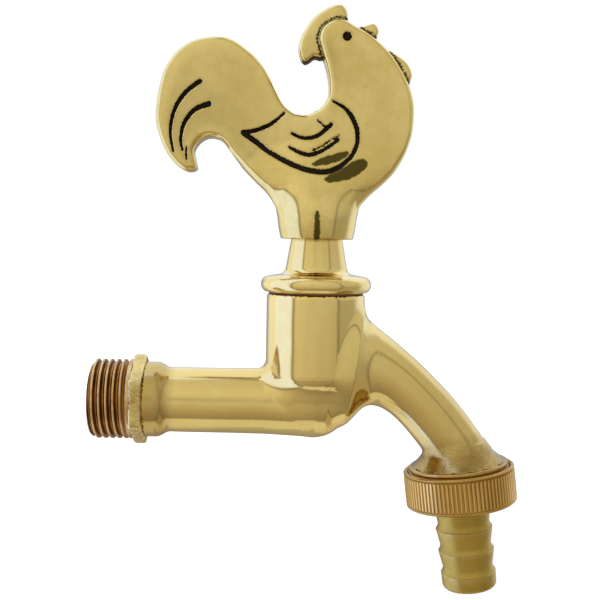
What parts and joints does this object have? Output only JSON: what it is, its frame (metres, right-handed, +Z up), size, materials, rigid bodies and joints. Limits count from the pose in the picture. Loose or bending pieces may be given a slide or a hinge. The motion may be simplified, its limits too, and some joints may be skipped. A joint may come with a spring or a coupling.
{
  "type": "garden tap with hose union",
  "caption": "Wall-mounted brass garden tap: threaded inlet with a hexagonal collar, screw-down valve under a cast rooster handle, curved spout, ridged union nut and barbed hose tail.",
  "frame": {"origin": "on the inlet thread's axis, at the wall-side face of the hexagonal collar", "axes": "+X out of the wall along the inlet, +Z up along the valve's stem, +Y towards the back of the picture"},
  "size_m": [0.1126, 0.0292, 0.1532],
  "materials": {
    "cast_brass": "cast, polished by hand, lightly patinated in the hollows",
    "satin_brass": "satin, orange brown",
    "olive_brass": "turned, satin, olive yellow",
    "turned_brass": "turned",
    "rubber": "moulded, matt",
    "fibre": "pressed fibre, matt"
  },
  "bodies": {
    "tap": {"tap_body": "cast_brass", "bonnet": "cast_brass", "bonnet_seal": "fibre"},
    "valve": {"jumper": "turned_brass", "valve_washer": "rubber", "washer_nut": "turned_brass"},
    "handle": {"spindle": "turned_brass", "upper_stem_ring": "rubber", "lower_stem_ring": "rubber", "rooster_handle": "cast_brass", "handle_screw": "turned_brass"},
    "tail": {"hose_tail": "olive_brass", "hose_gasket": "rubber"},
    "nut": {"union_nut": "satin_brass"}
  },
  "joints": [
    {"name": "valve_lift", "type": "slide", "parent": "tap", "child": "valve", "axis": [0, 0, 1], "range_m": [0, 0.004]},
    {"name": "spindle_turn", "type": "hinge", "parent": "valve", "child": "handle", "pos_m": [0.0476, 0, 0.045], "axis": [0, 0, 1], "range_deg": [0, 720]},
    {"name": "tail_slide", "type": "slide", "parent": "tap", "child": "tail", "axis": [0.1219, 0, -0.9925], "range_m": [0, 0.00363]},
    {"name": "union_nut_turn", "type": "hinge", "parent": "tail", "child": "nut", "pos_m": [0.0863, 0, -0.0166], "axis": [0.1219, 0, -0.9925], "range_deg": [0, 720]}
  ],
  "couplings": [
    {"joint": "spindle_turn", "follows": "valve_lift", "rad_per_m": 3141.6},
    {"joint": "union_nut_turn", "follows": "tail_slide", "rad_per_m": 3463.7}
  ]
}
